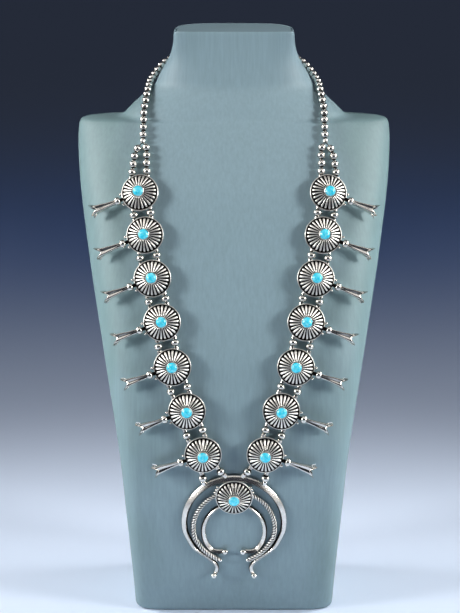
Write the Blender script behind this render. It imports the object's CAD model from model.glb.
"""Squash blossom necklace of silver and turquoise on a painted neck bust.

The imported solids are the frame. Each piece here is laid over its solid, in metres, with +Z up and
the front towards -Y. Sizes that belong to one piece are in millimetres until the piece is made.
"""

import math

import bmesh
import bpy
import numpy as np
from bpy.props import FloatProperty, FloatVectorProperty, IntProperty, PointerProperty, StringProperty
from bpy.types import Operator, Panel, PropertyGroup
from mathutils import Matrix, Vector


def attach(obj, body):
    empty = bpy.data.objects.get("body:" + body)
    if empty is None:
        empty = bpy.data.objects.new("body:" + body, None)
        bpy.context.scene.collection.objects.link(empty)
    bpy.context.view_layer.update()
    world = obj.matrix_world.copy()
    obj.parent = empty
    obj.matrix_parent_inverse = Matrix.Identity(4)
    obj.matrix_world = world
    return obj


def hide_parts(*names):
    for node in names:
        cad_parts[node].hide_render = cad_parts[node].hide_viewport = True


bl_info = {
    "name": "Squash Blossom Necklace",
    "version": (1, 0, 0),
    "blender": (4, 5, 0),
    "location": "View3D > Sidebar > Necklace",
    "description": "A silver and turquoise necklace on a painted neck bust",
    "category": "Add Mesh",
}

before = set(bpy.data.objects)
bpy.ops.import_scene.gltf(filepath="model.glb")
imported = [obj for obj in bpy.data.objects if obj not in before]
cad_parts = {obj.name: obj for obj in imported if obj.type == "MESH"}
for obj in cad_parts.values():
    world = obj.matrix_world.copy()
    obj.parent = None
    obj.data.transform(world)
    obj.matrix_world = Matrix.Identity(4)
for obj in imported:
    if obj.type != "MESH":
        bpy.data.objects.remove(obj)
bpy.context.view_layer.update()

MM = 0.001
BODY = "root"
SIDES = ("left", "right")
DISCS = range(1, 8)
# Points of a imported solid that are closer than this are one, in mm
SAME_POINT = 0.002
# A flat face is looked for round this many of the largest faces, and their normals agree to this
LARGEST_FACES = 24
SAME_NORMAL = 0.99999
# A stone's base above the top of the dome, and how far from a disc only the petals reach, in mm
STONE_LIFT = 0.3
TIP_REACH = 24
# Half the distance of the two strands, and how far the tubes' middles lie behind a disc, in mm
TUBE_LANE = 5.0
TUBE_DROP = 1.0
# A blossom's arm starts this far from the disc's middle and is this wide to each side, in mm
ARM_FROM = 9
ARM_HALF = 5
# The tubes lie below this height over the disc's back, in mm
TUBES_BELOW = -0.4
# A brush stroke's length in its widths
STROKE_LENGTH = 30
# Three wires that touch have their middles at this share of the rope's radius
WIRE_REACH = 0.536
# How far the arm of a blossom lies in front of the disc's back, in mm
ARM_LIFT = 0.6
# How far a granule's middle lies outside the disc, in granules
GRANULE_OUT = 0.42
X_AXIS = Vector((1, 0, 0))
Z_AXIS = Vector((0, 0, 1))


# Small tools


def linear(colour):
    """Turn an sRGB hex colour into linear red, green, blue and alpha."""
    parts = [int(colour[i : i + 2], 16) / 255 for i in (1, 3, 5)]
    return [c / 12.92 if c <= 0.04045 else ((c + 0.055) / 1.055) ** 2.4 for c in parts] + [1]


def link(node, links):
    """Set a node's inputs: as values, or as what they read. A node is read at its first output."""
    for name, value in links.items():
        if isinstance(value, bpy.types.Node):
            value = value.outputs[0]
        if isinstance(value, bpy.types.NodeSocket):
            node.id_data.links.new(value, node.inputs[name])
        else:
            node.inputs[name].default_value = value
    return node


def add_node(tree, kind, links=None, **settings):
    """Add a node. Settings are its attributes, and links are its inputs."""
    node = tree.nodes.new(kind)
    for name, value in settings.items():
        setattr(node, name, value)
    return link(node, links or {})


class Form:
    """Points in mm, faces and the wear of each point, gathered shell by shell."""

    def __init__(self):
        self.points, self.faces, self.wear = [], [], []

    def add(self, shell, wear=1.0, place=Matrix.Identity(4)):
        """Add a shell of points and faces. Wear is 1 where silver is bright and 0 where it is black."""
        points, faces = shell
        first = len(self.points)
        self.points += [place @ Vector(p) for p in points]
        self.faces += [[first + i for i in face] for face in faces]
        self.wear += list(wear) if isinstance(wear, (list, tuple)) else [wear] * len(points)
        return self

    def add_form(self, other, place=Matrix.Identity(4)):
        """Add another form at a place."""
        return self.add((other.points, other.faces), other.wear, place)


def loft(rings, closed=False):
    """Join rings of equal size into a shell, capped at both ends or closed into a loop."""
    size, count = len(rings[0]), len(rings)
    faces = []
    for i in range(count if closed else count - 1):
        for j in range(size):
            a, b = i * size + j, i * size + (j + 1) % size
            c = (i + 1) % count * size
            faces.append([a, b, c + (j + 1) % size, c + j])
    if not closed:
        faces += [list(range(size))[::-1], [(count - 1) * size + j for j in range(size)]]
    return [p for ring in rings for p in ring], faces


def lathe(profile, steps):
    """Turn a profile of (radius, height) about z. A first or last radius of 0 closes to a pole."""
    points, faces, rows = [], [], []
    turns = [math.tau * j / steps for j in range(steps)]
    for r, z in profile:
        first = len(points)
        if r == 0:
            rows.append([first] * steps)
            points.append((0, 0, z))
        else:
            rows.append(list(range(first, first + steps)))
            points += [(r * math.cos(turn), r * math.sin(turn), z) for turn in turns]
    pairs = list(zip(rows, rows[1:]))
    if profile[0][0] > 0:
        pairs.append((rows[-1], rows[0]))
    for low, high in pairs:
        for j in range(steps):
            k = (j + 1) % steps
            face = [low[j], low[k], high[k], high[j]]
            faces.append([v for i, v in enumerate(face) if v not in face[:i]])
    return points, faces


def turned_form(rows, steps):
    """A form turned about z, from rows of (radius, height, wear)."""
    wear = [w for r, _, w in rows for _ in range(steps if r else 1)]
    return Form().add(lathe([(r, z) for r, z, _ in rows], steps), wear)


def mirrored(half):
    """A whole profile from the half of it that goes from its middle to its upper end."""
    return [(r, -z) for r, z in reversed(half) if z > 0] + list(half)


def ball(radius, rows=10, steps=18):
    """A ball about the origin."""
    turns = [math.pi * i / rows for i in range(rows + 1)]
    profile = [(radius * math.sin(t), -radius * math.cos(t)) for t in turns]
    profile[0], profile[-1] = (0, -radius), (0, radius)
    return lathe(profile, steps)


def ring(radius, wire, steps=72, sides=10):
    """A ring of round wire about z."""
    profile = [
        (radius + wire * math.cos(math.tau * j / sides), wire * math.sin(math.tau * j / sides))
        for j in range(sides)
    ]
    return lathe(profile, steps)


def smooth_line(points, parts):
    """A Catmull-Rom curve through points, with a number of parts for each stretch."""
    made = []
    for i in range(len(points) - 1):
        a, b = Vector(points[max(i - 1, 0)]), Vector(points[i])
        c, d = Vector(points[i + 1]), Vector(points[min(i + 2, len(points) - 1)])
        for k in range(parts):
            t = k / parts
            made.append(
                (2 * b + (c - a) * t + (2 * a - 5 * b + 4 * c - d) * t * t
                 + (3 * b - a - 3 * c + d) * t ** 3) / 2
            )
    return made + [Vector(points[-1])]


def axes(x, y, z, place):
    """A matrix that puts x, y and z along three directions at a place."""
    made = Matrix((x, y, z)).transposed().to_4x4()
    made.translation = place
    return made


def along(direction, place, guide=Z_AXIS):
    """A matrix whose z runs along a direction at a place."""
    z = direction.normalized()
    x = (guide if abs(z.dot(guide)) < 0.9 else X_AXIS).cross(z).normalized()
    return axes(x, z.cross(x), z, place)


# Places from the solids


def node_points(node):
    """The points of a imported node, in mm."""
    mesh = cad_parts[node].data
    flat = np.zeros(len(mesh.vertices) * 3, np.float32)
    mesh.vertices.foreach_get("co", flat)
    return flat.reshape(-1, 3).astype(float) / MM


def loose_solids(node):
    """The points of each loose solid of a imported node, in mm."""
    made = bmesh.new()
    made.from_mesh(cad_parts[node].data)
    bmesh.ops.remove_doubles(made, verts=made.verts, dist=SAME_POINT * MM)
    made.verts.ensure_lookup_table()
    seen, solids = set(), []
    for start in made.verts:
        if start.index in seen:
            continue
        seen.add(start.index)
        island, queue = [], [start]
        while queue:
            vert = queue.pop()
            island.append(vert.co / MM)
            for edge in vert.link_edges:
                other = edge.other_vert(vert)
                if other.index not in seen:
                    seen.add(other.index)
                    queue.append(other)
        solids.append(np.array([list(p) for p in island]))
    made.free()
    return solids


def middle(points):
    """The middle of a solid's box."""
    return Vector((points.min(0) + points.max(0)) / 2)


def turned_axis(points):
    """The axis of a turned solid: the one principal direction that is unlike the other two."""
    sizes, ways = np.linalg.eigh(np.cov((points - points.mean(0)).T))
    return Vector(ways[:, 0] if sizes[1] - sizes[0] > sizes[2] - sizes[1] else ways[:, 2])


def flat_base(node):
    """The middle and outward direction of a node's largest flat face, in mm."""
    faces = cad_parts[node].data.polygons
    largest = sorted(faces, key=lambda face: -face.area)[:LARGEST_FACES]
    best = max(
        ([f for f in faces if f.normal.dot(seed.normal) > SAME_NORMAL] for seed in largest),
        key=lambda group: sum(f.area for f in group),
    )
    area = sum(f.area for f in best)
    centre = sum((f.center * f.area for f in best), Vector()) / area
    return centre / MM, sum((f.normal * f.area for f in best), Vector()).normalized()


# Settings


def millimetres(name, description, default):
    return FloatProperty(name=name, description=description, default=default, min=0.01, soft_max=400)


def colour(name, description, default):
    return StringProperty(name=name, description=description, default=default)


def light_colour(name, description, default):
    return FloatVectorProperty(
        name=name, description=description, default=default, subtype="COLOR", size=3, min=0, max=1
    )


def roughness(name, description, default):
    return FloatProperty(
        name=name, description=description, default=default, min=0.02, max=1, subtype="FACTOR"
    )


def watts(name, description, default):
    return FloatProperty(name=name, description=description, default=default, min=0)


class SilverLook(PropertyGroup):
    bright: colour("Bright silver", "Colour of polished silver", "#e9e5dd")
    oxide: colour("Oxide", "Colour of the black left in the recesses", "#161412")
    polish: roughness("Polish", "Roughness of the polished silver", 0.16)
    satin: roughness("Satin", "Roughness of the stamped and wound silver", 0.30)


class StoneLook(PropertyGroup):
    blue: colour("Sky blue", "Main colour of the turquoise", "#30dffc")
    pale: colour("Pale blue", "Colour of the paler mottling", "#9cf6ff")
    diameter: millimetres("Diameter", "Diameter of a cabochon in mm", 6.0)
    height: millimetres("Height", "Height of a cabochon in mm", 2.3)


class PaintLook(PropertyGroup):
    blue: colour("Blue-grey", "The paint over most of the bust", "#8fa9b2")
    sage: colour("Sage", "The greener paint that shows at the sides", "#7d999b")
    stroke: millimetres("Brush stroke", "Width of a brush stroke in mm", 1.6)


class DiscShape(PropertyGroup):
    diameter: millimetres("Diameter", "Diameter over the rim wire in mm", 22.0)
    rim: millimetres("Rim wire", "Diameter of the rim wire in mm", 0.85)
    plate: millimetres("Plate", "Thickness of the back plate in mm", 1.0)
    dome: millimetres("Dome", "Rise of the dome above the plate in mm", 3.7)
    bezel: millimetres("Bezel", "Height of the bezel above the dome in mm", 1.3)
    relief: millimetres("Relief", "Rise of a rib over the valleys beside it in mm", 0.7)
    ribs: IntProperty(name="Ribs", description="Number of ribs on a dome", default=26, min=8, max=60)
    tube: millimetres("Tube", "Diameter of the tubes behind a disc in mm", 3.2)
    bore: millimetres("Bore", "Bore of the tubes and beads in mm", 1.1)


class BlossomShape(PropertyGroup):
    petal: millimetres("Petal length", "Length of the flared petals in mm", 15.6)
    collar: millimetres("Collar", "Diameter of the collar in mm", 5.1)
    collar_length: millimetres("Collar length", "Length of the collar in mm", 3.4)
    granule: millimetres("Granule", "Diameter of a granule in mm", 1.7)


class NajaShape(PropertyGroup):
    width: millimetres("Width", "Width of the outer crescent in mm", 62.8)
    outer: millimetres("Outer band", "Width of the outer crescent's band in mm", 3.7)
    outer_ridge: millimetres("Outer ridge", "Height of the outer crescent's ridge in mm", 2.6)
    rope: millimetres("Rope", "Thickness of the rope crescent in mm", 3.1)
    rope_radius: millimetres("Rope radius", "Radius of the rope crescent in mm", 24.2)
    rope_ball: millimetres("Rope ball", "Diameter of the balls on the rope's ends in mm", 2.4)
    lay: millimetres("Lay", "Length of one turn of the rope in mm", 5.4)
    inner: millimetres("Inner band", "Width of the inner crescent's band in mm", 3.0)
    inner_ridge: millimetres("Inner ridge", "Height of the inner crescent's ridge in mm", 2.2)
    inner_radius: millimetres("Inner radius", "Radius of the inner crescent in mm", 18.3)
    ball: millimetres("Ball", "Diameter of the balls on the tips in mm", 3.7)


class StageLook(PropertyGroup):
    floor: colour("Floor", "Colour of the floor", "#deeafc")
    room: light_colour("Room", "Colour of the room around the stage", (0.024, 0.028, 0.040))
    room_low: light_colour("Room below", "Colour of the room below the stage", (0.075, 0.060, 0.048))
    top_power: watts("Top panel", "Power of the panel above in watts", 5.0)
    wide_power: watts("Wide panels", "Power of each wide panel in watts", 3.4)
    key_power: watts("Key lights", "Power of each key light in watts", 1.95)
    fill_power: watts("Fill light", "Power of the light at the front in watts", 0.08)
    pool_power: watts("Pool lights", "Power of each light on the floor in watts", 0.60)
    far_power: watts("Far light", "Power of the blue light behind in watts", 0.43)
    far_tint: colour("Far tint", "Colour of the light behind", "#4a98ff")


# Materials


def new_material(name, constants):
    """A material with one Principled shader, and the constants that are set on its own sockets."""
    made = bpy.data.materials.new(name)
    made.use_nodes = True
    shader = made.node_tree.nodes["Principled BSDF"]
    return made, made.node_tree, link(shader, constants)


def blobs(place, size_mm, detail):
    """Links for a noise whose blobs are about size_mm wide."""
    return {"Vector": place, "Scale": 1 / (size_mm * MM), "Detail": detail}


def silver_material(name, look, shine, grain_mm):
    """Silver, soldered, blackened all over and polished back, so that only the recesses stay black."""
    made, tree, shader = new_material(name, {"Metallic": 1.0})
    place = add_node(tree, "ShaderNodeTexCoord").outputs["Object"]
    # Silver is black up to the first wear and bright from the second on, and duller in patches
    worn = add_node(tree, "ShaderNodeAttribute", attribute_name="wear").outputs["Fac"]
    edge = {"Value": worn, "From Min": 0.12, "From Max": 0.72}
    edge = add_node(tree, "ShaderNodeMapRange", edge, interpolation_type="SMOOTHSTEP")
    patch = add_node(tree, "ShaderNodeTexNoise", blobs(place, grain_mm * 4, 3))
    dull = {"Value": patch, "From Min": 0.3, "From Max": 0.75, "To Min": 1.0, "To Max": 0.82}
    dull = add_node(tree, "ShaderNodeMapRange", dull)
    level = add_node(tree, "ShaderNodeMath", {0: edge, 1: dull}, operation="MULTIPLY")
    tones = {0: level, 6: linear(look.oxide), 7: linear(look.bright)}
    tone = add_node(tree, "ShaderNodeMix", tones, data_type="RGBA").outputs[2]
    rough = add_node(tree, "ShaderNodeMapRange", {"Value": level, "To Min": 0.5, "To Max": shine})
    fine = add_node(tree, "ShaderNodeTexNoise", blobs(place, grain_mm, 5))
    bump = add_node(tree, "ShaderNodeBump", {"Height": fine, "Strength": 0.10, "Distance": 0.012 * MM})
    link(shader, {"Base Color": tone, "Roughness": rough, "Normal": bump})
    return made


def turquoise_material(name, look):
    """Turquoise, ground to a cabochon and polished: bright, faintly mottled, with a waxy gloss."""
    made, tree, shader = new_material(name, {"Roughness": 0.22, "Coat Weight": 0.5})
    place = add_node(tree, "ShaderNodeTexCoord").outputs["Object"]
    mottle = add_node(tree, "ShaderNodeTexNoise", blobs(place, 1.6, 4))
    share = {"Value": mottle, "From Min": 0.42, "From Max": 0.72, "To Max": 0.75}
    share = add_node(tree, "ShaderNodeMapRange", share)
    tones = {0: share, 6: linear(look.blue), 7: linear(look.pale)}
    link(shader, {"Base Color": add_node(tree, "ShaderNodeMix", tones, data_type="RGBA").outputs[2]})
    return made


def paint_material(name, look):
    """Wood under chalky paint, brushed downwards in two close tints that show as faint streaks."""
    made, tree, shader = new_material(name, {})
    place = add_node(tree, "ShaderNodeTexCoord").outputs["Object"]
    across = 1 / look.stroke
    stretch = {"Vector": place, "Scale": (across, across, across / STROKE_LENGTH)}
    stretch = add_node(tree, "ShaderNodeMapping", stretch)
    strokes = {"Vector": stretch, "Scale": 1 / MM, "Detail": 4, "Roughness": 0.6}
    strokes = add_node(tree, "ShaderNodeTexNoise", strokes)
    # Greener paint shows in patches and tall bands, and more of it towards the sides
    patches = add_node(tree, "ShaderNodeTexNoise", blobs(place, 60, 3))
    tall = add_node(tree, "ShaderNodeMapping", {"Vector": place, "Scale": (1, 1, 0.25)})
    bands = add_node(tree, "ShaderNodeTexNoise", blobs(tall, 14, 2))
    parts = add_node(tree, "ShaderNodeSeparateXYZ", {0: place}).outputs
    far = add_node(tree, "ShaderNodeMath", {0: parts["X"]}, operation="ABSOLUTE")
    side = {"Value": far, "From Min": 0.04, "From Max": 0.085, "To Min": -0.30, "To Max": 0.55}
    side = add_node(tree, "ShaderNodeMapRange", side)
    mix = add_node(tree, "ShaderNodeMath", {0: patches, 1: side}, operation="ADD")
    mix = add_node(tree, "ShaderNodeMath", {0: bands, 1: 0.35, 2: mix}, operation="MULTIPLY_ADD")
    share = add_node(tree, "ShaderNodeMapRange", {"Value": mix, "From Min": 0.45, "From Max": 1.05})
    tones = {0: share, 6: linear(look.blue), 7: linear(look.sage)}
    tone = add_node(tree, "ShaderNodeMix", tones, data_type="RGBA").outputs[2]
    # The strokes differ a little in tone, and handling has darkened the paint near the foot
    shade = {"Value": strokes, "From Min": 0.3, "From Max": 0.7, "To Min": 0.92, "To Max": 1.06}
    shade = add_node(tree, "ShaderNodeMapRange", shade)
    handled = {"Value": parts["Z"], "From Min": 0.02, "From Max": 0.19, "To Min": 0.68}
    handled = add_node(tree, "ShaderNodeMapRange", handled)
    shade = add_node(tree, "ShaderNodeMath", {0: shade, 1: handled}, operation="MULTIPLY")
    tone = add_node(tree, "ShaderNodeVectorMath", {0: tone, "Scale": shade}, operation="SCALE")
    rough = add_node(tree, "ShaderNodeMapRange", {"Value": strokes, "To Min": 0.42, "To Max": 0.62})
    bump = add_node(tree, "ShaderNodeBump", {"Height": strokes, "Strength": 0.35, "Distance": 0.12 * MM})
    link(shader, {"Base Color": tone, "Roughness": rough, "Normal": bump})
    return made


def thread_material(name):
    """Waxed cord, twisted from fine strands and dyed dark."""
    made, tree, shader = new_material(name, {"Roughness": 0.7})
    place = add_node(tree, "ShaderNodeTexCoord").outputs["Object"]
    strands = add_node(tree, "ShaderNodeTexNoise", blobs(place, 0.3, 3))
    tones = {0: strands, 6: linear("#1b1a19"), 7: linear("#4a4744")}
    link(shader, {"Base Color": add_node(tree, "ShaderNodeMix", tones, data_type="RGBA").outputs[2]})
    return made


def material(name):
    """A finish by its name, made the first time it is asked for."""
    scene = bpy.context.scene
    silver = scene.silver_look
    makers = {
        "oxidised_silver": lambda: silver_material(name, silver, silver.polish, 0.5),
        "stamped_silver": lambda: silver_material(name, silver, silver.satin, 0.3),
        "turquoise_cabochon": lambda: turquoise_material(name, scene.stone_look),
        "brushed_paint_on_wood": lambda: paint_material(name, scene.paint_look),
        "waxed_cord": lambda: thread_material(name),
    }
    return bpy.data.materials.get(name) or makers[name]()


# Making pieces


def make_mesh(name, form, finish, crease=40):
    """A mesh in metres from a form, with its faces outward and only sharp corners left sharp."""
    mesh = bpy.data.meshes.new(name)
    mesh.from_pydata([Vector(p) * MM for p in form.points], [], form.faces)
    wear = mesh.attributes.new("wear", "FLOAT", "POINT")
    wear.data.foreach_set("value", form.wear)
    mesh.materials.append(material(finish))
    made = bmesh.new()
    made.from_mesh(mesh)
    bmesh.ops.recalc_face_normals(made, faces=made.faces)
    made.to_mesh(mesh)
    made.free()
    mesh.shade_smooth()
    mesh.set_sharp_from_angle(angle=math.radians(crease))
    return mesh


def show(name, mesh, slot, *nodes):
    """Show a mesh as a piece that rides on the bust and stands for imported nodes."""
    piece = bpy.data.objects.new(name, mesh)
    bpy.context.scene.collection.objects.link(piece)
    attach(piece, BODY)
    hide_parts(*nodes)


def temporary_object(mesh):
    """An object that only a Geometry Nodes tree needs. It is removed after use."""
    made = bpy.data.objects.new(mesh.name, mesh)
    bpy.context.scene.collection.objects.link(made)
    return made


def grow(name, mesh, tree, finish, **values):
    """Run a Geometry Nodes tree on a mesh and return the plain mesh that it makes."""
    values["Finish"] = material(finish)
    base = temporary_object(mesh)
    modifier = base.modifiers.new("Grow", "NODES")
    modifier.node_group = tree
    for item in tree.interface.items_tree:
        if item.in_out == "INPUT" and item.name in values:
            modifier[item.identifier] = values[item.name]
    bpy.context.view_layer.update()
    whole = base.evaluated_get(bpy.context.evaluated_depsgraph_get())
    made = bpy.data.meshes.new_from_object(whole)
    made.name = name
    base.modifiers.clear()
    bpy.data.objects.remove(base)
    return made


def new_tree(name, inputs):
    """A Geometry Nodes tree with named inputs, what it is given, and a function that ends it."""
    tree = bpy.data.node_groups.new(name, "GeometryNodeTree")
    inputs = {"Geometry": "Geometry", **inputs, "Finish": "Material"}
    for label, kind in inputs.items():
        tree.interface.new_socket(label, in_out="INPUT", socket_type="NodeSocket" + kind)
    tree.interface.new_socket("Geometry", in_out="OUTPUT", socket_type="NodeSocketGeometry")
    given = add_node(tree, "NodeGroupInput").outputs

    def end(geometry):
        real = add_node(tree, "GeometryNodeRealizeInstances", {"Geometry": geometry})
        done = {"Geometry": real, "Material": given["Finish"]}
        done = add_node(tree, "GeometryNodeSetMaterial", done)
        add_node(tree, "NodeGroupOutput", {"Geometry": done})

    return tree, given, end


def ribs_tree():
    """Stands a rib round the middle of a dome as many times as it has ribs, and keeps the dome."""
    tree, given, end = new_tree("ribs_round_a_dome", {"Rib": "Object", "Ribs": "Int"})
    points = add_node(tree, "GeometryNodePoints", {"Count": given["Ribs"]})
    index = add_node(tree, "GeometryNodeInputIndex")
    step = add_node(tree, "ShaderNodeMath", {0: math.tau, 1: given["Ribs"]}, operation="DIVIDE")
    turn = add_node(tree, "ShaderNodeMath", {0: index, 1: step}, operation="MULTIPLY")
    about_z = add_node(tree, "ShaderNodeCombineXYZ", {"Z": turn})
    euler = add_node(tree, "FunctionNodeEulerToRotation", {0: about_z})
    rib = add_node(tree, "GeometryNodeObjectInfo", {"Object": given["Rib"]}).outputs["Geometry"]
    ribs = {"Points": points, "Instance": rib, "Rotation": euler}
    ribs = add_node(tree, "GeometryNodeInstanceOnPoints", ribs)
    join = add_node(tree, "GeometryNodeJoinGeometry", {0: ribs})
    end(link(join, {0: given["Geometry"]}))
    return tree


def string_tree():
    """Stands a bead on each point of a string, turned along the point's own axis."""
    tree, given, end = new_tree("beads_on_a_string", {"Bead": "Object"})
    axis = add_node(tree, "GeometryNodeInputNamedAttribute", {"Name": "axis"}, data_type="FLOAT_VECTOR")
    turn = {"Vector": axis.outputs["Attribute"]}
    turn = add_node(tree, "FunctionNodeAlignRotationToVector", turn, axis="Z")
    bead = add_node(tree, "GeometryNodeObjectInfo", {"Object": given["Bead"]}).outputs["Geometry"]
    beads = {"Points": given["Geometry"], "Instance": bead, "Rotation": turn}
    end(add_node(tree, "GeometryNodeInstanceOnPoints", beads))
    return tree


def rope_tree():
    """Winds wires round a line, thinner where the line's own thickness is smaller."""
    inputs = {"Wires": "Int", "Turns": "Float", "Steps": "Int"}
    tree, given, end = new_tree("wires_wound_to_a_rope", inputs)
    line = add_node(tree, "GeometryNodeMeshToCurve", {"Mesh": given["Geometry"]})
    line = add_node(tree, "GeometryNodeResampleCurve", {"Curve": line, "Count": given["Steps"]})
    wires = {"Geometry": line, "Amount": given["Wires"]}
    wires = add_node(tree, "GeometryNodeDuplicateElements", wires, domain="SPLINE").outputs
    share = add_node(tree, "GeometryNodeSplineParameter")
    turns = add_node(tree, "ShaderNodeMath", {0: share, 1: given["Turns"]}, operation="MULTIPLY")
    start = {0: wires["Duplicate Index"], 1: given["Wires"]}
    start = add_node(tree, "ShaderNodeMath", start, operation="DIVIDE")
    angle = add_node(tree, "ShaderNodeMath", {0: turns, 1: start}, operation="ADD")
    angle = add_node(tree, "ShaderNodeMath", {0: angle, 1: math.tau}, operation="MULTIPLY")
    cosine = add_node(tree, "ShaderNodeMath", {0: angle}, operation="COSINE")
    sine = add_node(tree, "ShaderNodeMath", {0: angle}, operation="SINE")
    named = "GeometryNodeInputNamedAttribute"
    across = add_node(tree, named, {"Name": "across"}, data_type="FLOAT_VECTOR").outputs["Attribute"]
    thick = add_node(tree, named, {"Name": "thick"}, data_type="FLOAT").outputs["Attribute"]
    tangent = add_node(tree, "GeometryNodeInputTangent")
    up = add_node(tree, "ShaderNodeVectorMath", {0: tangent, 1: across}, operation="CROSS_PRODUCT")
    one = add_node(tree, "ShaderNodeVectorMath", {0: across, "Scale": cosine}, operation="SCALE")
    two = add_node(tree, "ShaderNodeVectorMath", {0: up, "Scale": sine}, operation="SCALE")
    way = add_node(tree, "ShaderNodeVectorMath", {0: one, 1: two}, operation="ADD")
    reach = add_node(tree, "ShaderNodeMath", {0: thick, 1: WIRE_REACH}, operation="MULTIPLY")
    offset = add_node(tree, "ShaderNodeVectorMath", {0: way, "Scale": reach}, operation="SCALE")
    wound = add_node(tree, "GeometryNodeSetPosition", {"Geometry": wires["Geometry"], "Offset": offset})
    wire = {"Resolution": 8, "Radius": 1 - WIRE_REACH}
    wire = add_node(tree, "GeometryNodeCurvePrimitiveCircle", wire)
    # From Blender 4.5 on, the scale of the profile is an input of its own
    tube = {"Curve": wound, "Profile Curve": wire, "Scale": thick, "Fill Caps": True}
    end(add_node(tree, "GeometryNodeCurveToMesh", tube))
    return tree


# The bust

# Sections of the bust from the foot to the top of the neck. Height is a share of the whole height,
# width runs from 0 at the foot's or the neck's width to 1 at the shoulders', and front, widest and
# back are shares of the depth. A fullness of 2 is an ellipse, and a higher one is squarer.
HEIGHT, WIDTH, FRONT, WIDEST, BACK, FULL_FRONT, FULL_BACK = range(7)
TORSO = (
    (0.000, 0.000, 0.150, 0.459, 0.839, 8.0, 5.0),
    (0.064, 0.042, 0.098, 0.459, 0.844, 8.0, 5.0),
    (0.170, 0.139, 0.044, 0.459, 0.857, 7.2, 4.8),
    (0.275, 0.240, 0.007, 0.459, 0.868, 6.5, 4.6),
    (0.309, 0.283, 0.000, 0.461, 0.872, 6.3, 4.5),
    (0.384, 0.401, 0.016, 0.467, 0.880, 5.5, 4.3),
    (0.451, 0.510, 0.042, 0.475, 0.888, 5.0, 4.2),
    (0.526, 0.631, 0.094, 0.486, 0.897, 4.5, 4.0),
    (0.598, 0.751, 0.150, 0.512, 0.904, 4.0, 3.8),
    (0.671, 0.859, 0.211, 0.541, 0.912, 3.4, 3.6),
    (0.734, 0.942, 0.273, 0.576, 0.920, 3.0, 3.3),
    (0.780, 0.984, 0.331, 0.612, 0.926, 2.6, 3.0),
    (0.818, 0.998, 0.384, 0.648, 0.930, 2.4, 2.7),
    (0.837, 0.985, 0.413, 0.668, 0.930, 2.3, 2.3),
    (0.8455, 0.946, 0.427, 0.682, 0.930, 2.3, 2.0),
    (0.8485, 0.871, 0.432, 0.690, 0.930, 2.35, 1.8),
)
NECK = (
    (0.8496, 0.630, 0.434, 0.692, 0.932, 2.63, 2.0),
    (0.8530, 0.545, 0.440, 0.694, 0.936, 2.70, 2.0),
    (0.860, 0.497, 0.450, 0.696, 0.944, 2.85, 2.1),
    (0.870, 0.437, 0.463, 0.698, 0.952, 2.8, 2.2),
    (0.887, 0.325, 0.487, 0.700, 0.965, 2.5, 2.4),
    (0.906, 0.203, 0.512, 0.698, 0.977, 2.4, 2.6),
    (0.925, 0.145, 0.522, 0.690, 0.986, 2.6, 2.8),
    (0.945, 0.074, 0.531, 0.674, 0.993, 3.0, 3.0),
    (0.960, 0.036, 0.535, 0.655, 0.996, 3.4, 3.1),
    (0.983, 0.006, 0.540, 0.624, 0.999, 5.0, 3.3),
    (1.000, 0.000, 0.541, 0.607, 1.000, 7.0, 3.5),
)


class BustShape(PropertyGroup):
    height: millimetres("Height", "Height of the bust in mm", 346.0)
    shoulders: millimetres("Shoulders", "Width across the shoulders in mm", 188.0)
    foot: millimetres("Foot", "Width of the foot in mm", 121.0)
    neck: millimetres("Neck", "Width of the neck at its top in mm", 71.6)
    depth: millimetres("Depth", "Depth from the chest to the back of the neck in mm", 121.0)
    foot_edge: millimetres("Foot edge", "Rounding of the foot's edge in mm", 2.2)
    neck_edge: millimetres("Neck edge", "Rounding of the neck's top edge in mm", 0.8)


def bust_sections(shape):
    """Rows of height, half width, front, widest, back and both fullnesses, in mm."""
    centre = (TORSO[0][FRONT] + TORSO[0][BACK]) / 2
    rows = []
    for table, narrow in ((TORSO, shape.foot), (NECK, shape.neck)):
        for row in table:
            rows.append(
                [row[HEIGHT] * shape.height, (narrow + row[WIDTH] * (shape.shoulders - narrow)) / 2]
                + [(row[k] - centre) * shape.depth for k in (FRONT, WIDEST, BACK)]
                + [row[FULL_FRONT], row[FULL_BACK]]
            )
    return np.array(rows)


def smooth_columns(rows, heights):
    """Each column at each height, on a smooth curve that overshoots nowhere."""
    z, step = rows[:, 0], np.diff(rows[:, 0])
    made = []
    for column in rows[:, 1:].T:
        slope = np.diff(column) / step
        tangent = np.zeros(len(z))
        tangent[0], tangent[-1] = slope[0], slope[-1]
        for i in range(1, len(z) - 1):
            a, b = slope[i - 1], slope[i]
            if a * b > 0:
                w, v = 2 * step[i] + step[i - 1], step[i] + 2 * step[i - 1]
                tangent[i] = (w + v) / (w / a + v / b)
        k = np.clip(np.searchsorted(z, heights, side="right") - 1, 0, len(z) - 2)
        h = step[k]
        t = (heights - z[k]) / h
        made.append(
            (2 * t**3 - 3 * t**2 + 1) * column[k] + (t**3 - 2 * t**2 + t) * h * tangent[k]
            + (3 * t**2 - 2 * t**3) * column[k + 1] + (t**3 - t**2) * h * tangent[k + 1]
        )
    return np.array(made).T


def bust_ring(row, z, inset, steps):
    """A section of the bust at a height, drawn in by an inset."""
    half, front, widest, back, full_front, full_back = row
    made = []
    for j in range(steps):
        turn = math.tau * j / steps
        c, s = math.cos(turn), math.sin(turn)
        depth, full = (widest - front, full_front) if c > 0 else (back - widest, full_back)
        radius = ((abs(s) / half) ** full + (abs(c) / depth) ** full) ** (-1 / full) - inset
        made.append((radius * s, widest - radius * c, z))
    return made


def rounded(radius, parts=6):
    """Steps of a rounded edge as (rise, inset), from the flat face to the side."""
    turns = [math.pi / 2 * k / parts for k in range(parts + 1)]
    return [(radius * (1 - math.cos(t)), radius * (1 - math.sin(t))) for t in turns]


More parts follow.
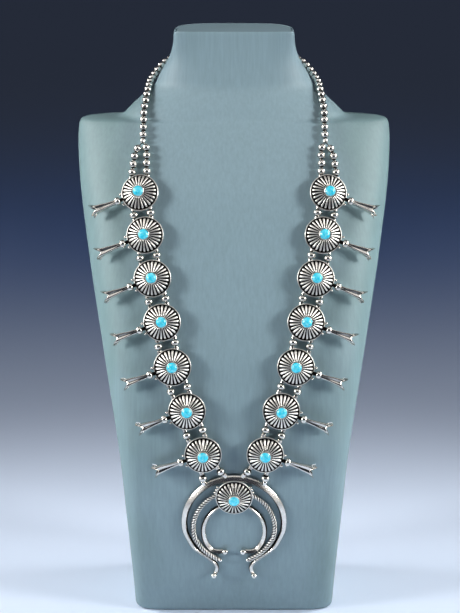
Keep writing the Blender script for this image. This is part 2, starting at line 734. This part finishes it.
class NECKLACE_OT_bust(Operator):
    """Make the painted neck bust"""

    bl_idname = "necklace.bust"
    bl_label = "Bust"
    steps = 180
    row_mm = 2.0
    # The seam's width and depth, its distance from the rounded edge, and the slope of its sides
    seam_mm, seam_in, seam_slope = 0.7, 0.2, 0.05
    # Each section between these shares of the height has a ring, as the shoulders meet the neck there
    meeting = (0.83, 0.88)

    def execute(self, context):
        shape = context.scene.bust_shape
        rows, top = bust_sections(shape), shape.height
        levels = np.arange(shape.foot_edge + self.row_mm, top - shape.neck_edge - 1, self.row_mm).tolist()
        levels += [z for z in rows[:, 0] if top * self.meeting[0] < z < top * self.meeting[1]]
        edges = rounded(shape.foot_edge) + [(z, 0) for z in sorted(set(levels))]
        edges += [(top - z, inset) for z, inset in reversed(rounded(shape.neck_edge))]
        # A fine seam runs round the top of the neck, just inside its edge
        near = shape.neck_edge + self.seam_in
        far, deep = near + self.seam_mm, top - self.seam_mm
        edges += [(top, near), (deep, near + self.seam_slope), (deep, far - self.seam_slope), (top, far)]
        columns = smooth_columns(rows, np.array([z for z, _ in edges]))
        rings = [bust_ring(row, z, inset, self.steps) for row, (z, inset) in zip(columns, edges)]
        mesh = make_mesh("bust_paint", Form().add(loft(rings)), "brushed_paint_on_wood", crease=50)
        show("bust_paint", mesh, "paint", "bust")
        return {"FINISHED"}


# Discs and blossoms


class Disc:
    """Where a disc stands: its place, its outward direction, its arm's and its tubes' directions."""

    def __init__(self, stone, blossom=None):
        shape = bpy.context.scene.disc_shape
        base, down = flat_base(stone)
        self.out = -down
        self.seat = shape.plate + shape.dome + STONE_LIFT
        self.place = base - self.out * self.seat
        if blossom is None:
            self.arm = X_AXIS.copy()
            self.up = self.out.cross(self.arm).normalized()
            return
        points = node_points(blossom)
        rel = points - np.array(self.place)
        tips = points[np.linalg.norm(rel, axis=1) > TIP_REACH]
        arm = Vector(tips.mean(0)) - self.place
        self.arm = (arm - self.out * arm.dot(self.out)).normalized()
        self.up = self.out.cross(self.arm)
        local = rel @ np.array([self.arm, self.up, self.out]).T
        arm_side = (local[:, 0] > ARM_FROM) & (np.abs(local[:, 1]) < ARM_HALF)
        tubes = rel[(local[:, 2] < TUBES_BELOW) & ~arm_side]
        ways = np.linalg.eigh(np.cov((tubes - tubes.mean(0)).T))[1]
        self.travel = Vector(ways[:, 2])
        self.tube_half = float(np.abs(tubes @ ways[:, 2]).max())

    def frame(self):
        """The disc's own axes, with x along its arm and z outward."""
        return axes(self.arm, self.up, self.out, self.place)


# The dome from the bezel to the rim, as shares of the ribbed radius and of the dome's rise
DOME = (
    (0.340, 0.985), (0.420, 0.920), (0.520, 0.825), (0.620, 0.720), (0.720, 0.605), (0.810, 0.485),
    (0.880, 0.390), (0.930, 0.310), (0.965, 0.230), (0.990, 0.140), (0.995, -0.120),
)
# Half a rib's section as shares of its half width and of its height, and the wear there
RIB_SECTION = (
    (1.00, 0.00, 0.0), (0.95, 0.30, 0.0), (0.84, 0.66, 0.15), (0.66, 0.88, 0.9), (0.35, 0.97, 1.0),
    (0.00, 1.00, 1.0),
)
# A rib's ends and blunting: share along it and share of its full width and height
RIB_END = ((0.0, 0.80), (0.05, 1.0), (0.92, 1.0), (0.98, 0.95), (1.0, 0.70))
# A rib's ends as shares of the ribbed radius, its width as a share of its room, and its sections
RIB_FROM, RIB_TO = 0.355, 0.980
RIB_WIDTH = 0.62
RIB_ROWS = 15
# How far a rib goes down into the dome, the gap inside the rim, and the stone's gap and wall, in mm
RIB_ROOT = 0.5
RIM_GAP = 0.1
STONE_GAP = 0.1
BEZEL_WALL = 0.35


def ribbed_radius(shape):
    """The radius that the ribs reach, just inside the rim wire."""
    return shape.diameter / 2 - shape.rim - RIM_GAP


def dome_form(shape, stone):
    """A disc without its ribs: plate, rim wire, dome valleys and bezel."""
    inner, plate = shape.diameter / 2 - shape.rim / 2, shape.plate
    back = [(0, 0, 0.5), (inner - 0.2, 0, 0.5), (inner, 0.15, 0.5), (inner, plate, 0.0), (0, plate, 0.0)]
    form = turned_form(back, 72)
    form.add(ring(inner, shape.rim / 2, 96, 12), 1.0, Matrix.Translation((0, 0, plate * 0.6)))
    ribbed = ribbed_radius(shape)
    valleys = [(r * ribbed, plate + z * shape.dome - shape.relief / 2) for r, z in reversed(DOME)]
    form.add(lathe([(0, plate * 0.3)] + valleys + [(0, valleys[-1][1])], 104), 0.0)
    inside = stone.diameter / 2 + STONE_GAP
    outside = inside + BEZEL_WALL
    top = plate + shape.dome + shape.bezel
    floor = plate + shape.dome + 0.2
    bezel = (
        (0, floor - 1.2, 0.1), (outside + 0.15, floor - 1.2, 0.25), (outside + 0.12, floor - 0.3, 0.25),
        (outside, floor, 1.0), (outside, top - 0.5, 1.0), (outside - 0.10, top - 0.12, 1.0),
        (outside - 0.24, top, 1.0), (inside + 0.02, top - 0.05, 1.0), (inside, top - 0.25, 0.9),
        (inside, floor, 0.9), (0, floor, 0.1),
    )
    return form.add_form(turned_form(bezel, 48))


def rib_form(shape):
    """One rib of the dome along x: a low bar with a bright top, narrow at the bezel, blunt at the rim."""
    ribbed = ribbed_radius(shape)
    reaches, rises = zip(*DOME)
    section = list(RIB_SECTION) + [(-a, h, w) for a, h, w in RIB_SECTION[-2::-1]]
    rings, wear = [], []
    for share in (k / (RIB_ROWS - 1) for k in range(RIB_ROWS)):
        full = float(np.interp(share, *zip(*RIB_END)))
        reach = RIB_FROM + (RIB_TO - RIB_FROM) * share
        x = reach * ribbed
        z = shape.plate + float(np.interp(reach, reaches, rises)) * shape.dome - shape.relief / 2
        half = math.pi * x / shape.ribs * RIB_WIDTH * full
        bar = [(x, half * a, z + shape.relief * full * h) for a, h, _ in section]
        rings.append(bar + [(x, -half, z - RIB_ROOT), (x, half, z - RIB_ROOT)])
        wear += [w for _, _, w in section] + [0.0, 0.0]
    return Form().add(loft(rings), wear)


def fluted_disc(name):
    """The mesh of one disc about z, with the back of its plate at z = 0."""
    scene = bpy.context.scene
    shape = scene.disc_shape
    rib = temporary_object(make_mesh("rib_to_repeat", rib_form(shape), "stamped_silver", 60))
    base = make_mesh(name, dome_form(shape, scene.stone_look), "stamped_silver")
    made = grow(name, base, ribs_tree(), "stamped_silver", Rib=rib, Ribs=shape.ribs)
    bpy.data.objects.remove(rib)
    return made


# Petals: place along them, tip, cleft and how far the cleft lies behind, as in the solid
PETAL_ROWS = (
    (0.00, 1.60, 1.35, 0.00), (0.12, 1.66, 1.28, 0.00), (0.25, 1.80, 1.26, 0.00), (0.38, 2.02, 1.30, 0.00),
    (0.50, 2.40, 1.38, 0.00), (0.62, 2.68, 1.52, 0.00), (0.72, 2.95, 1.72, 0.02), (0.80, 3.22, 1.95, 0.05),
    (0.87, 3.55, 2.20, 0.09), (0.93, 4.05, 2.45, 0.14), (0.97, 4.45, 2.62, 0.18), (1.00, 4.80, 2.72, 0.21),
)
INNER_ROWS = (
    (0.99, 4.50, 2.30, 0.21), (0.95, 3.75, 2.00, 0.16), (0.88, 2.75, 1.65, 0.09), (0.78, 2.30, 1.30, 0.04),
    (0.66, 1.90, 1.00, 0.00), (0.52, 1.45, 0.75, 0.00), (0.42, 0.60, 0.35, 0.00),
)
PETALS = 4
PETAL_STEPS = 48
# A higher power makes the ridges narrower
RIDGE_POWER = 1.35
# The two granules' turn from the arm
GRANULE_DEG = 16
# The collar's gap from the disc, how far the petals go into it, and the stem's radius, in mm
COLLAR_GAP = 1.2
COLLAR_OVER = 0.3
STEM_RADIUS = 1.1


def ridge_height(step, steps):
    """How far a petal stands out at a step round the blossom: 1 on its ridge and 0 in a cleft."""
    return 0.5 + 0.5 * math.cos(PETALS * math.tau * step / steps - math.pi)


def petal_section(row, length):
    """A section of the petals about z: four ridges with hollows between them."""
    place, tip, cleft, behind = row
    made = []
    for j in range(PETAL_STEPS):
        turn = math.tau * j / PETAL_STEPS
        ridge = ridge_height(j, PETAL_STEPS) ** RIDGE_POWER
        radius = cleft + (tip - cleft) * ridge
        z = (place - (1 - ridge) * behind) * length
        made.append((radius * math.cos(turn), radius * math.sin(turn), z))
    return made


def blossom_form(shape, disc):
    """The arm of a blossom along x from the middle of a disc: granules, collar and petals."""
    radius = disc.diameter / 2
    form = Form()
    grain = ball(shape.granule / 2)
    reach = radius + shape.granule * GRANULE_OUT
    for side in (-1, 1):
        turn = math.radians(side * GRANULE_DEG)
        spot = (reach * math.cos(turn), reach * math.sin(turn), ARM_LIFT)
        form.add(grain, 0.95, Matrix.Translation(spot))
    half_t, half_d = shape.collar_length / 2, shape.collar / 2
    collar_at = radius + COLLAR_GAP + half_t
    petals_at = collar_at + half_t - COLLAR_OVER
    lie = Matrix.Translation((0, 0, ARM_LIFT)) @ Matrix.Rotation(math.pi / 2, 4, "Y")

    def at(x):
        return lie @ Matrix.Translation((0, 0, x))

    stem = petals_at - radius + 3
    form.add(lathe([(0, 0), (STEM_RADIUS, 0), (STEM_RADIUS, stem), (0, stem)], 20), 0.12, at(radius - 1))
    collar = [(0, -half_t)]
    for k in range(13):
        turn = math.pi * k / 12 - math.pi / 2
        bulge = round(math.cos(turn), 9) ** 0.75
        collar.append((1.0 + (half_d - 1.0) * bulge, half_t * math.sin(turn)))
    form.add(lathe(collar + [(0, half_t)], 32), 1.0, at(collar_at))
    sections = [petal_section(row, shape.petal) for row in PETAL_ROWS + INNER_ROWS]
    ridges = [ridge_height(j, PETAL_STEPS) for j in range(PETAL_STEPS)]
    wear = [min(1.0, 0.45 + 0.55 * ridge + 0.3 * row[0]) for row in PETAL_ROWS for ridge in ridges]
    wear += [max(0.0, 0.75 - 0.35 * k) for k in range(len(INNER_ROWS)) for _ in ridges]
    return form.add(loft(sections), wear, at(petals_at))


def tube_form(shape, half):
    """A tube along y with rolled ends."""
    radius, bore, roll = shape.tube / 2, shape.bore / 2, 0.25
    profile = mirrored([(radius, half - roll), (radius - roll, half), (bore, half)])
    return Form().add(lathe(profile, 24), 0.55, Matrix.Rotation(math.pi / 2, 4, "X"))


class NECKLACE_OT_blossoms(Operator):
    """Make the fourteen discs with their blossoms"""

    bl_idname = "necklace.blossoms"
    bl_label = "Blossoms"

    def execute(self, context):
        scene = context.scene
        shape = scene.disc_shape
        disc_mesh = fluted_disc("fluted_disc")
        arm = make_mesh("arm", blossom_form(scene.blossom_shape, shape), "oxidised_silver", 50)
        for side in SIDES:
            for i in DISCS:
                node = f"{side}_blossom_{i}"
                disc = Disc(f"{side}_turquoise_{i}", node)
                tubes = Form()
                tube = tube_form(shape, disc.tube_half)
                across = disc.travel.cross(disc.out)
                lie = axes(across, disc.travel, disc.out, disc.place)
                for lane in (-1, 1):
                    tubes.add_form(tube, lie @ Matrix.Translation((lane * TUBE_LANE, 0, -TUBE_DROP)))
                parts = [disc_mesh.copy(), arm.copy(), make_mesh("tubes", tubes, "oxidised_silver")]
                place = disc.frame()
                place.translation *= MM
                for mesh in parts[:2]:
                    mesh.transform(place)
                show(node + "_silver", joined(node + "_silver", parts), "silver", node)
        return {"FINISHED"}


def joined(name, meshes):
    """Join meshes into one mesh that keeps their finishes."""
    finishes = list(dict.fromkeys(mesh.materials[0] for mesh in meshes))
    made = bmesh.new()
    for mesh in meshes:
        first = len(made.faces)
        made.from_mesh(mesh)
        made.faces.ensure_lookup_table()
        for face in made.faces[first:]:
            face.material_index = finishes.index(mesh.materials[0])
    whole = meshes[0].copy()
    whole.name = name
    whole.materials.clear()
    for finish in finishes:
        whole.materials.append(finish)
    made.to_mesh(whole)
    made.free()
    return whole


class NECKLACE_OT_stones(Operator):
    """Make the fifteen turquoise cabochons"""

    bl_idname = "necklace.stones"
    bl_label = "Stones"
    # The height of the straight girdle and the break of its lower edge, in mm
    girdle, edge = 0.9, 0.1
    rows = 12

    def execute(self, context):
        look = context.scene.stone_look
        radius, crown = look.diameter / 2, look.height - self.girdle
        curve = (radius**2 + crown**2) / (2 * crown)
        profile = [(0, 0), (radius - self.edge, 0), (radius, self.edge), (radius, self.girdle)]
        for k in range(1, self.rows):
            r = radius * math.cos(math.pi / 2 * k / self.rows)
            profile.append((r, self.girdle + crown - curve + math.sqrt(curve**2 - r**2)))
        profile.append((0, look.height))
        shell = lathe(profile, 48)
        names = ["naja_turquoise"] + [f"{side}_turquoise_{i}" for side in SIDES for i in DISCS]
        for node in names:
            disc = Disc(node)
            seat = disc.place + disc.out * disc.seat
            form = Form().add(shell, 1.0, axes(disc.arm, disc.up, disc.out, seat))
            mesh = make_mesh(node + "_stone", form, "turquoise_cabochon", 35)
            show(node + "_stone", mesh, "turquoise", node)
        return {"FINISHED"}


# Strings

# Half profiles of turned pieces as (radius, height) in mm, from the middle to one end
JOIN_PROFILE = ((1.65, 0), (1.62, 0.6), (1.35, 1.0), (1.25, 1.3), (0.95, 1.3))
CLASP_PROFILE = (
    (1.9, 0), (2.0, 0.3), (2.0, 4.95), (1.75, 5.35), (1.4, 5.65), (1.4, 6.45), (1.1, 6.75), (0.55, 6.75),
)
LOOP_PROFILE = ((1.5, 1.1), (1.35, 1.3), (0.6, 1.3))
BEAD_STEPS = 28


def polished(level, black):
    """Wear that rises quickly from nearly black to bright where a level passes a value."""
    return min(1.0, max(0.05, (level - black) / 0.35))


def bead_form(diameter, bore):
    """A round bead about z with rolled holes."""
    radius, hole = diameter / 2, bore / 2
    start = math.asin((hole + 0.12) / radius)
    end = radius * math.cos(start) - 0.06
    rows = [(hole, -end, 0.2)]
    for k in range(17):
        turn = start + (math.pi - 2 * start) * k / 16
        wear = polished(math.sin(turn), 0.45)
        rows.append((radius * math.sin(turn), -radius * math.cos(turn), wear))
    return turned_form(rows + [(hole, end, 0.2)], BEAD_STEPS)


def saucer_form(diameter, thickness, bore):
    """A flattened bead with a full round edge and shoulders at the holes."""
    half_t, hole = thickness / 2, bore / 2
    edge = half_t * 0.85
    rows = [(hole, -half_t, 0.15)]
    for k in range(13):
        turn = math.pi * k / 12 - math.pi / 2
        reach = diameter / 2 - edge + edge * max(0.0, math.cos(turn))
        rows.append((reach, half_t * math.sin(turn), polished(math.cos(turn), 0.15)))
    return turned_form(rows + [(hole, half_t, 0.15)], BEAD_STEPS)


def string_points(name, solids):
    """A mesh of one point for each bead, with the bead's axis as an attribute."""
    mesh = bpy.data.meshes.new(name)
    mesh.from_pydata([middle(p) * MM for p in solids], [], [])
    axis = mesh.attributes.new("axis", "FLOAT_VECTOR", "POINT")
    axis.data.foreach_set("vector", [c for p in solids for c in turned_axis(p)])
    return mesh


class NECKLACE_OT_beads(Operator):
    """Make the strings of beads, the two joining beads and the clasp"""

    bl_idname = "necklace.beads"
    bl_label = "Beads"
    bead_mm, saucer_mm, saucer_long = 4.8, 5.3, 3.5
    # A bead that is longer than this along its thread is a round one
    round_from = 4.1

    def execute(self, context):
        bore = context.scene.disc_shape.bore
        tree = string_tree()
        forms = {
            "round_bead": bead_form(self.bead_mm, bore),
            "saucer": saucer_form(self.saucer_mm, self.saucer_long, bore),
        }
        beads = [temporary_object(make_mesh(name, form, "oxidised_silver")) for name, form in forms.items()]
        for side in SIDES:
            for row in ("neck", "inner", "outer"):
                node = f"{side}_{row}_beads"
                chosen = ([], [])
                for points in loose_solids(node):
                    long = np.ptp(points @ np.array(turned_axis(points)))
                    chosen[long <= self.round_from].append(points)
                parts = [
                    grow(node, string_points(node + "_points", solids), tree, "oxidised_silver", Bead=bead)
                    for bead, solids in zip(beads, chosen) if solids
                ]
                show(node + "_silver", joined(node + "_silver", parts), "silver", node)
            self.turned(f"{side}_join_bead", JOIN_PROFILE)
        self.turned("clasp", CLASP_PROFILE)
        for bead in beads:
            bpy.data.objects.remove(bead)
        return {"FINISHED"}

    def turned(self, node, half):
        """Show a turned piece in the place of its node, from half its profile."""
        points = node_points(node)
        place = along(turned_axis(points), middle(points))
        form = Form().add(lathe(mirrored(half), 32), 0.85, place)
        show(node + "_silver", make_mesh(node + "_silver", form, "oxidised_silver", 30), "silver", node)


class NECKLACE_OT_threads(Operator):
    """Finish the threads, which stay as they are in the solids"""

    bl_idname = "necklace.threads"
    bl_label = "Threads"

    def execute(self, context):
        for name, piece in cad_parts.items():
            if name.endswith("_thread"):
                piece.data.materials.clear()
                piece.data.materials.append(material("waxed_cord"))
        return {"FINISHED"}


# The naja

# Right halves of the crescents below their arcs, in shares of the naja's radius
TAIL = (
    (0.862, -0.342), (0.760, -0.530), (0.628, -0.655), (0.483, -0.762),
    (0.378, -0.862), (0.324, -0.963), (0.334, -1.046), (0.356, -1.086),
)
TAIL_BALL = (0.384, -1.122)
ROPE_TAIL = ((0.690, -0.400), (0.606, -0.528), (0.469, -0.663), (0.330, -0.757), (0.288, -0.780))
ROPE_BALL = (0.261, -0.793)
INNER_TAIL = ((0.350, -0.616), (0.260, -0.622), (0.212, -0.615))
INNER_BALL = (0.169, -0.604)
# The turn between points of an arc, and the parts between the corners of its tail
ARC_STEP = 3
TAIL_PARTS = 8
# The disc's granules on each side, and the height of the balls on the rope's ends, in mm
GRANULES_DEG = (16, 25, 34)
ROPE_BALL_HEIGHT = 1.3
# Sections of the rope in one turn of its wires
ROPE_STEPS = 16
# How far a loop's middle lies below the middle of the lowest bead, in mm
LOOP_BELOW = 3.65
# Sections of a band as (across, height) shares, from the outer edge over the ridge to the inner
OUTER_SECTION = (
    (0.50, 0.00, 0.3), (0.50, 0.24, 0.9), (0.47, 0.33, 1.0), (0.28, 0.53, 1.0), (0.04, 0.78, 1.0),
    (-0.13, 0.95, 1.0), (-0.19, 1.00, 1.0), (-0.24, 0.95, 0.8), (-0.36, 0.70, 0.18), (-0.46, 0.42, 0.10),
    (-0.50, 0.33, 0.25), (-0.50, 0.00, 0.1),
)

# The inner crescent's wide bright face looks inward
INNER_SECTION = tuple((-a, h, w) for a, h, w in reversed(OUTER_SECTION))


def half_line(radius, centre, end_deg, tail, scale):
    """Right half of a crescent's middle line, from the crown along an arc and its tail to its tip."""
    line = []
    for k in range(int((90 - end_deg) / ARC_STEP) + 1):
        turn = math.radians(90 - k * ARC_STEP)
        line.append(Vector((radius * math.cos(turn), centre + radius * math.sin(turn))))
    corners = line[-2:] + [Vector(p) * scale for p in tail]
    return line + smooth_line(corners, TAIL_PARTS)[TAIL_PARTS + 1 :]


def whole_line(half):
    return [Vector((-p.x, p.y)) for p in half[:0:-1]] + half


def line_length(line):
    return sum((b - a).length for a, b in zip(line, line[1:]))


def band(line, section, width, height, tip, crown=1.0):
    """A band that follows a line, with its size shrinking towards both tips and at its crown."""
    rings, wear = [], []
    last, whole, run = len(line) - 1, line_length(line), 0.0
    for i, p in enumerate(line):
        run += (p - line[max(i - 1, 0)]).length
        way = (line[min(i + 1, last)] - line[max(i - 1, 0)]).normalized()
        away = abs(2 * run / whole - 1)
        size = (1 - (1 - tip) * away**3) * (1 - (1 - crown) * (1 - away) ** 3)
        out = Vector((-way.y, way.x)) * width * size
        rings.append([(p.x + out.x * a, p.y + out.y * a, h * height * size) for a, h, _ in section])
        wear += [w for _, _, w in section]
    return loft(rings), wear


class NECKLACE_OT_naja(Operator):
    """Make the crescent pendant with its rope, its balls and its disc"""

    bl_idname = "necklace.naja"
    bl_label = "Naja"
    # How far the disc and the rope's middle stand above the crescents' back, in mm
    disc_lift, rope_height = 1.6, 1.6
    # The disc's height above the crescents' middle, as a share of the naja's radius
    disc_share = 0.565

    def execute(self, context):
        scene = context.scene
        shape, grain = scene.naja_shape, scene.blossom_shape.granule / 2
        radius = shape.width / 2
        disc = Disc("naja_turquoise")
        disc_y = self.disc_share * radius
        place = disc.frame() @ Matrix.Translation((0, -disc_y, -self.disc_lift))
        outer = whole_line(half_line(radius - shape.outer / 2, 0, -12, TAIL, radius))
        form = Form().add(*band(outer, OUTER_SECTION, shape.outer, shape.outer_ridge, 0.62))
        inner = whole_line(half_line(shape.inner_radius, -5.9, -42, INNER_TAIL, radius))
        form.add(*band(inner, INNER_SECTION, shape.inner, shape.inner_ridge, 0.85, crown=0.7))
        tip_ball = ball(shape.ball / 2, 14, 24)
        reach = scene.disc_shape.diameter / 2 + grain * 2 * GRANULE_OUT
        for side in (-1, 1):
            for x, y in (TAIL_BALL, INNER_BALL):
                spot = (side * x * radius, y * radius, shape.ball / 2)
                form.add(tip_ball, 1.0, Matrix.Translation(spot))
            spot = (side * ROPE_BALL[0] * radius, ROPE_BALL[1] * radius, ROPE_BALL_HEIGHT)
            form.add(ball(shape.rope_ball / 2), 0.95, Matrix.Translation(spot))
            for turn in map(math.radians, GRANULES_DEG):
                spot = (side * reach * math.cos(turn), disc_y + reach * math.sin(turn))
                form.add(ball(grain), 0.9, Matrix.Translation((*spot, self.disc_lift + ARM_LIFT)))
        self.add_loops(form, place)
        bands = make_mesh("naja_bands", form, "oxidised_silver", 30)
        parts = [bands, self.rope(shape), fluted_disc("naja_disc")]
        for mesh, lie in zip(parts, (place, place.copy(), disc.frame())):
            lie.translation *= MM
            mesh.transform(lie)
        show("naja_silver", joined("naja_silver", parts), "silver", "naja")
        return {"FINISHED"}

    def rope(self, shape):
        """The rope crescent, wound of three wires that thin towards the crown."""
        line = whole_line(half_line(shape.rope_radius, -3.1, -18, ROPE_TAIL, shape.width / 2))
        mesh = bpy.data.meshes.new("rope_line")
        points = [(p.x * MM, p.y * MM, self.rope_height * MM) for p in line]
        last = len(line) - 1
        mesh.from_pydata(points, [(i, i + 1) for i in range(last)], [])
        thick = [shape.rope / 2 * MM * self.swell(i / last) for i in range(len(line))]
        mesh.attributes.new("thick", "FLOAT", "POINT").data.foreach_set("value", thick)
        across = mesh.attributes.new("across", "FLOAT_VECTOR", "POINT")
        across.data.foreach_set("vector", [c for _ in line for c in Z_AXIS])
        turns = line_length(line) / shape.lay
        steps = int(turns * ROPE_STEPS)
        made = grow("naja_rope", mesh, rope_tree(), "stamped_silver", Wires=3, Turns=turns, Steps=steps)
        self.wear_by_depth(made, line, shape)
        made.shade_smooth()
        return made

    def swell(self, share):
        """The rope's thickness along it: a little thinner behind the disc."""
        return 0.78 + 0.22 * min(1, 2 * abs(2 * share - 1))

    def wear_by_depth(self, mesh, line, shape):
        """Bright on the outside of the rope and black between its wires."""
        flat = np.zeros(len(mesh.vertices) * 3, np.float32)
        mesh.vertices.foreach_get("co", flat)
        middle_line = np.array([[p.x, p.y, self.rope_height] for p in smooth_line(line, 4)])
        last = len(middle_line) - 1
        wear = []
        for p in flat.reshape(-1, 3) / MM:
            gaps = ((middle_line - p) ** 2).sum(1)
            nearest = int(gaps.argmin())
            share = math.sqrt(gaps[nearest]) / (shape.rope / 2 * self.swell(nearest / last))
            wear.append(min(1.0, max(0.0, (share - 0.85) / 0.10)))
        for name in [a.name for a in mesh.attributes if a.name in ("wear", "thick", "across")]:
            mesh.attributes.remove(mesh.attributes[name])
        mesh.attributes.new("wear", "FLOAT", "POINT").data.foreach_set("value", wear)

    def add_loops(self, form, place):
        """The four loops on the crown that the strands end in."""
        back = place.inverted()
        for node in [f"{side}_{lane}_beads" for side in SIDES for lane in ("inner", "outer")]:
            low = min(loose_solids(node), key=lambda p: middle(p).z)
            way = turned_axis(low)
            way = way if way.z < 0 else -way
            turned = along(back.to_3x3() @ way, back @ (middle(low) + way * LOOP_BELOW))
            form.add(ring(1.1, 0.42, 28, 10), 0.8, turned)
            form.add(lathe(mirrored(LOOP_PROFILE), 24), 0.7, turned)


# The stage


class NECKLACE_OT_stage(Operator):
    """Make the floor, the lights and the camera"""

    bl_idname = "necklace.stage"
    bl_label = "Stage"
    tilt_deg = 13.64
    eye = (-0.0024, -1.1438, 0.458)
    lens_mm = 113.7
    # The lights at the front and sides are aimed at the chest
    chest = (0, 0, 0.27)

    def execute(self, context):
        scene = context.scene
        look = scene.stage_look
        scene.view_settings.view_transform = "Standard"
        scene.world = self.room(look)
        mesh = bpy.data.meshes.new("floor")
        mesh.from_pydata([(-4, -4, 0), (4, -4, 0), (4, 6, 0), (-4, 6, 0)], [], [(0, 1, 2, 3)])
        floor = bpy.data.objects.new("floor", mesh)
        scene.collection.objects.link(floor)
        finish = {"Roughness": 0.8, "Base Color": linear(look.floor)}
        mesh.materials.append(new_material("plain_floor", finish)[0])
        self.light("wide_top", (0, -0.55, 1.30), self.chest, (1.9, 1.0), look.top_power, 180, fill=False)
        at = (0, -1.5, 0.8)
        self.light("fill_front", at, self.chest, (0.6, 0.4), look.fill_power, 60, mirrored=False)
        for side in (-1, 1):
            at = (side * 1.15, -0.45, 0.50)
            self.light("wide_side", at, self.chest, (1.2, 1.3), look.wide_power, 180, fill=False)
            at = (side * 2.10, -0.93, 0.97)
            self.light("key_side", at, self.chest, (0.60, 0.90), look.key_power, 32)
            at, target = (side * 0.62, 0.08, 0.55), (side * 0.10, -0.10, 0)
            self.light("pool", at, target, (0.30, 0.30), look.pool_power, 60)
        at, target = (0, 0.90, 0.90), (0, 0.95, 0)
        self.light("far", at, target, (1.8, 0.5), look.far_power, 120, look.far_tint)
        camera = bpy.data.cameras.new("camera")
        camera.lens = self.lens_mm
        camera.clip_start, camera.clip_end = 0.05, 30
        eye = bpy.data.objects.new("camera", camera)
        eye.location = self.eye
        eye.rotation_euler = (math.radians(90 - self.tilt_deg), 0, 0)
        scene.collection.objects.link(eye)
        scene.camera = eye
        return {"FINISHED"}

    def room(self, look):
        """A dark room that is a little warmer below."""
        world = bpy.data.worlds.new("room")
        world.use_nodes = True
        tree = world.node_tree
        way = add_node(tree, "ShaderNodeTexCoord").outputs["Generated"]
        height = add_node(tree, "ShaderNodeSeparateXYZ", {0: way}).outputs["Z"]
        share = add_node(tree, "ShaderNodeMapRange", {"Value": height, "From Min": -0.6, "From Max": 0.1})
        tones = {0: share, 6: [*look.room_low, 1], 7: [*look.room, 1]}
        tone = add_node(tree, "ShaderNodeMix", tones, data_type="RGBA").outputs[2]
        link(tree.nodes["Background"], {"Color": tone})
        return world

    def light(self, name, place, target, size, power, spread_deg, tint="#ffffff", fill=True, mirrored=True):
        """A panel of light. Without fill only silver shows it, and unless mirrored silver does not."""
        made = bpy.data.lights.new(name, "AREA")
        made.shape = "RECTANGLE"
        made.size, made.size_y = size
        made.spread = math.radians(spread_deg)
        made.energy = power
        made.color = linear(tint)[:3]
        lamp = bpy.data.objects.new(name, made)
        lamp.location = place
        lamp.rotation_euler = (Vector(target) - Vector(place)).to_track_quat("-Z", "Y").to_euler()
        lamp.visible_diffuse, lamp.visible_glossy = fill, mirrored
        bpy.context.scene.collection.objects.link(lamp)


# The add-on

SETTINGS = {
    "silver_look": SilverLook,
    "stone_look": StoneLook,
    "paint_look": PaintLook,
    "bust_shape": BustShape,
    "disc_shape": DiscShape,
    "blossom_shape": BlossomShape,
    "naja_shape": NajaShape,
    "stage_look": StageLook,
}
OPERATORS = (
    NECKLACE_OT_stage,
    NECKLACE_OT_bust,
    NECKLACE_OT_blossoms,
    NECKLACE_OT_stones,
    NECKLACE_OT_beads,
    NECKLACE_OT_threads,
    NECKLACE_OT_naja,
)


class NECKLACE_PT_panel(Panel):
    """Settings and makers of the necklace"""

    bl_label = "Squash Blossom Necklace"
    bl_space_type = "VIEW_3D"
    bl_region_type = "UI"
    bl_category = "Necklace"

    def draw(self, context):
        for name, group in SETTINGS.items():
            box = self.layout.box()
            box.label(text=group.__name__)
            for field in group.__annotations__:
                box.prop(getattr(context.scene, name), field)
        for operator in OPERATORS:
            self.layout.operator(operator.bl_idname)


def register():
    for made in (*SETTINGS.values(), *OPERATORS, NECKLACE_PT_panel):
        bpy.utils.register_class(made)
    for name, group in SETTINGS.items():
        setattr(bpy.types.Scene, name, PointerProperty(type=group))


def unregister():
    for name in SETTINGS:
        delattr(bpy.types.Scene, name)
    for made in reversed((*SETTINGS.values(), *OPERATORS, NECKLACE_PT_panel)):
        bpy.utils.unregister_class(made)


def main():
    register()
    bpy.ops.necklace.stage()
    bpy.ops.necklace.bust()
    bpy.ops.necklace.blossoms()
    bpy.ops.necklace.stones()
    bpy.ops.necklace.beads()
    bpy.ops.necklace.threads()
    bpy.ops.necklace.naja()


if __name__ == "__main__":
    main()
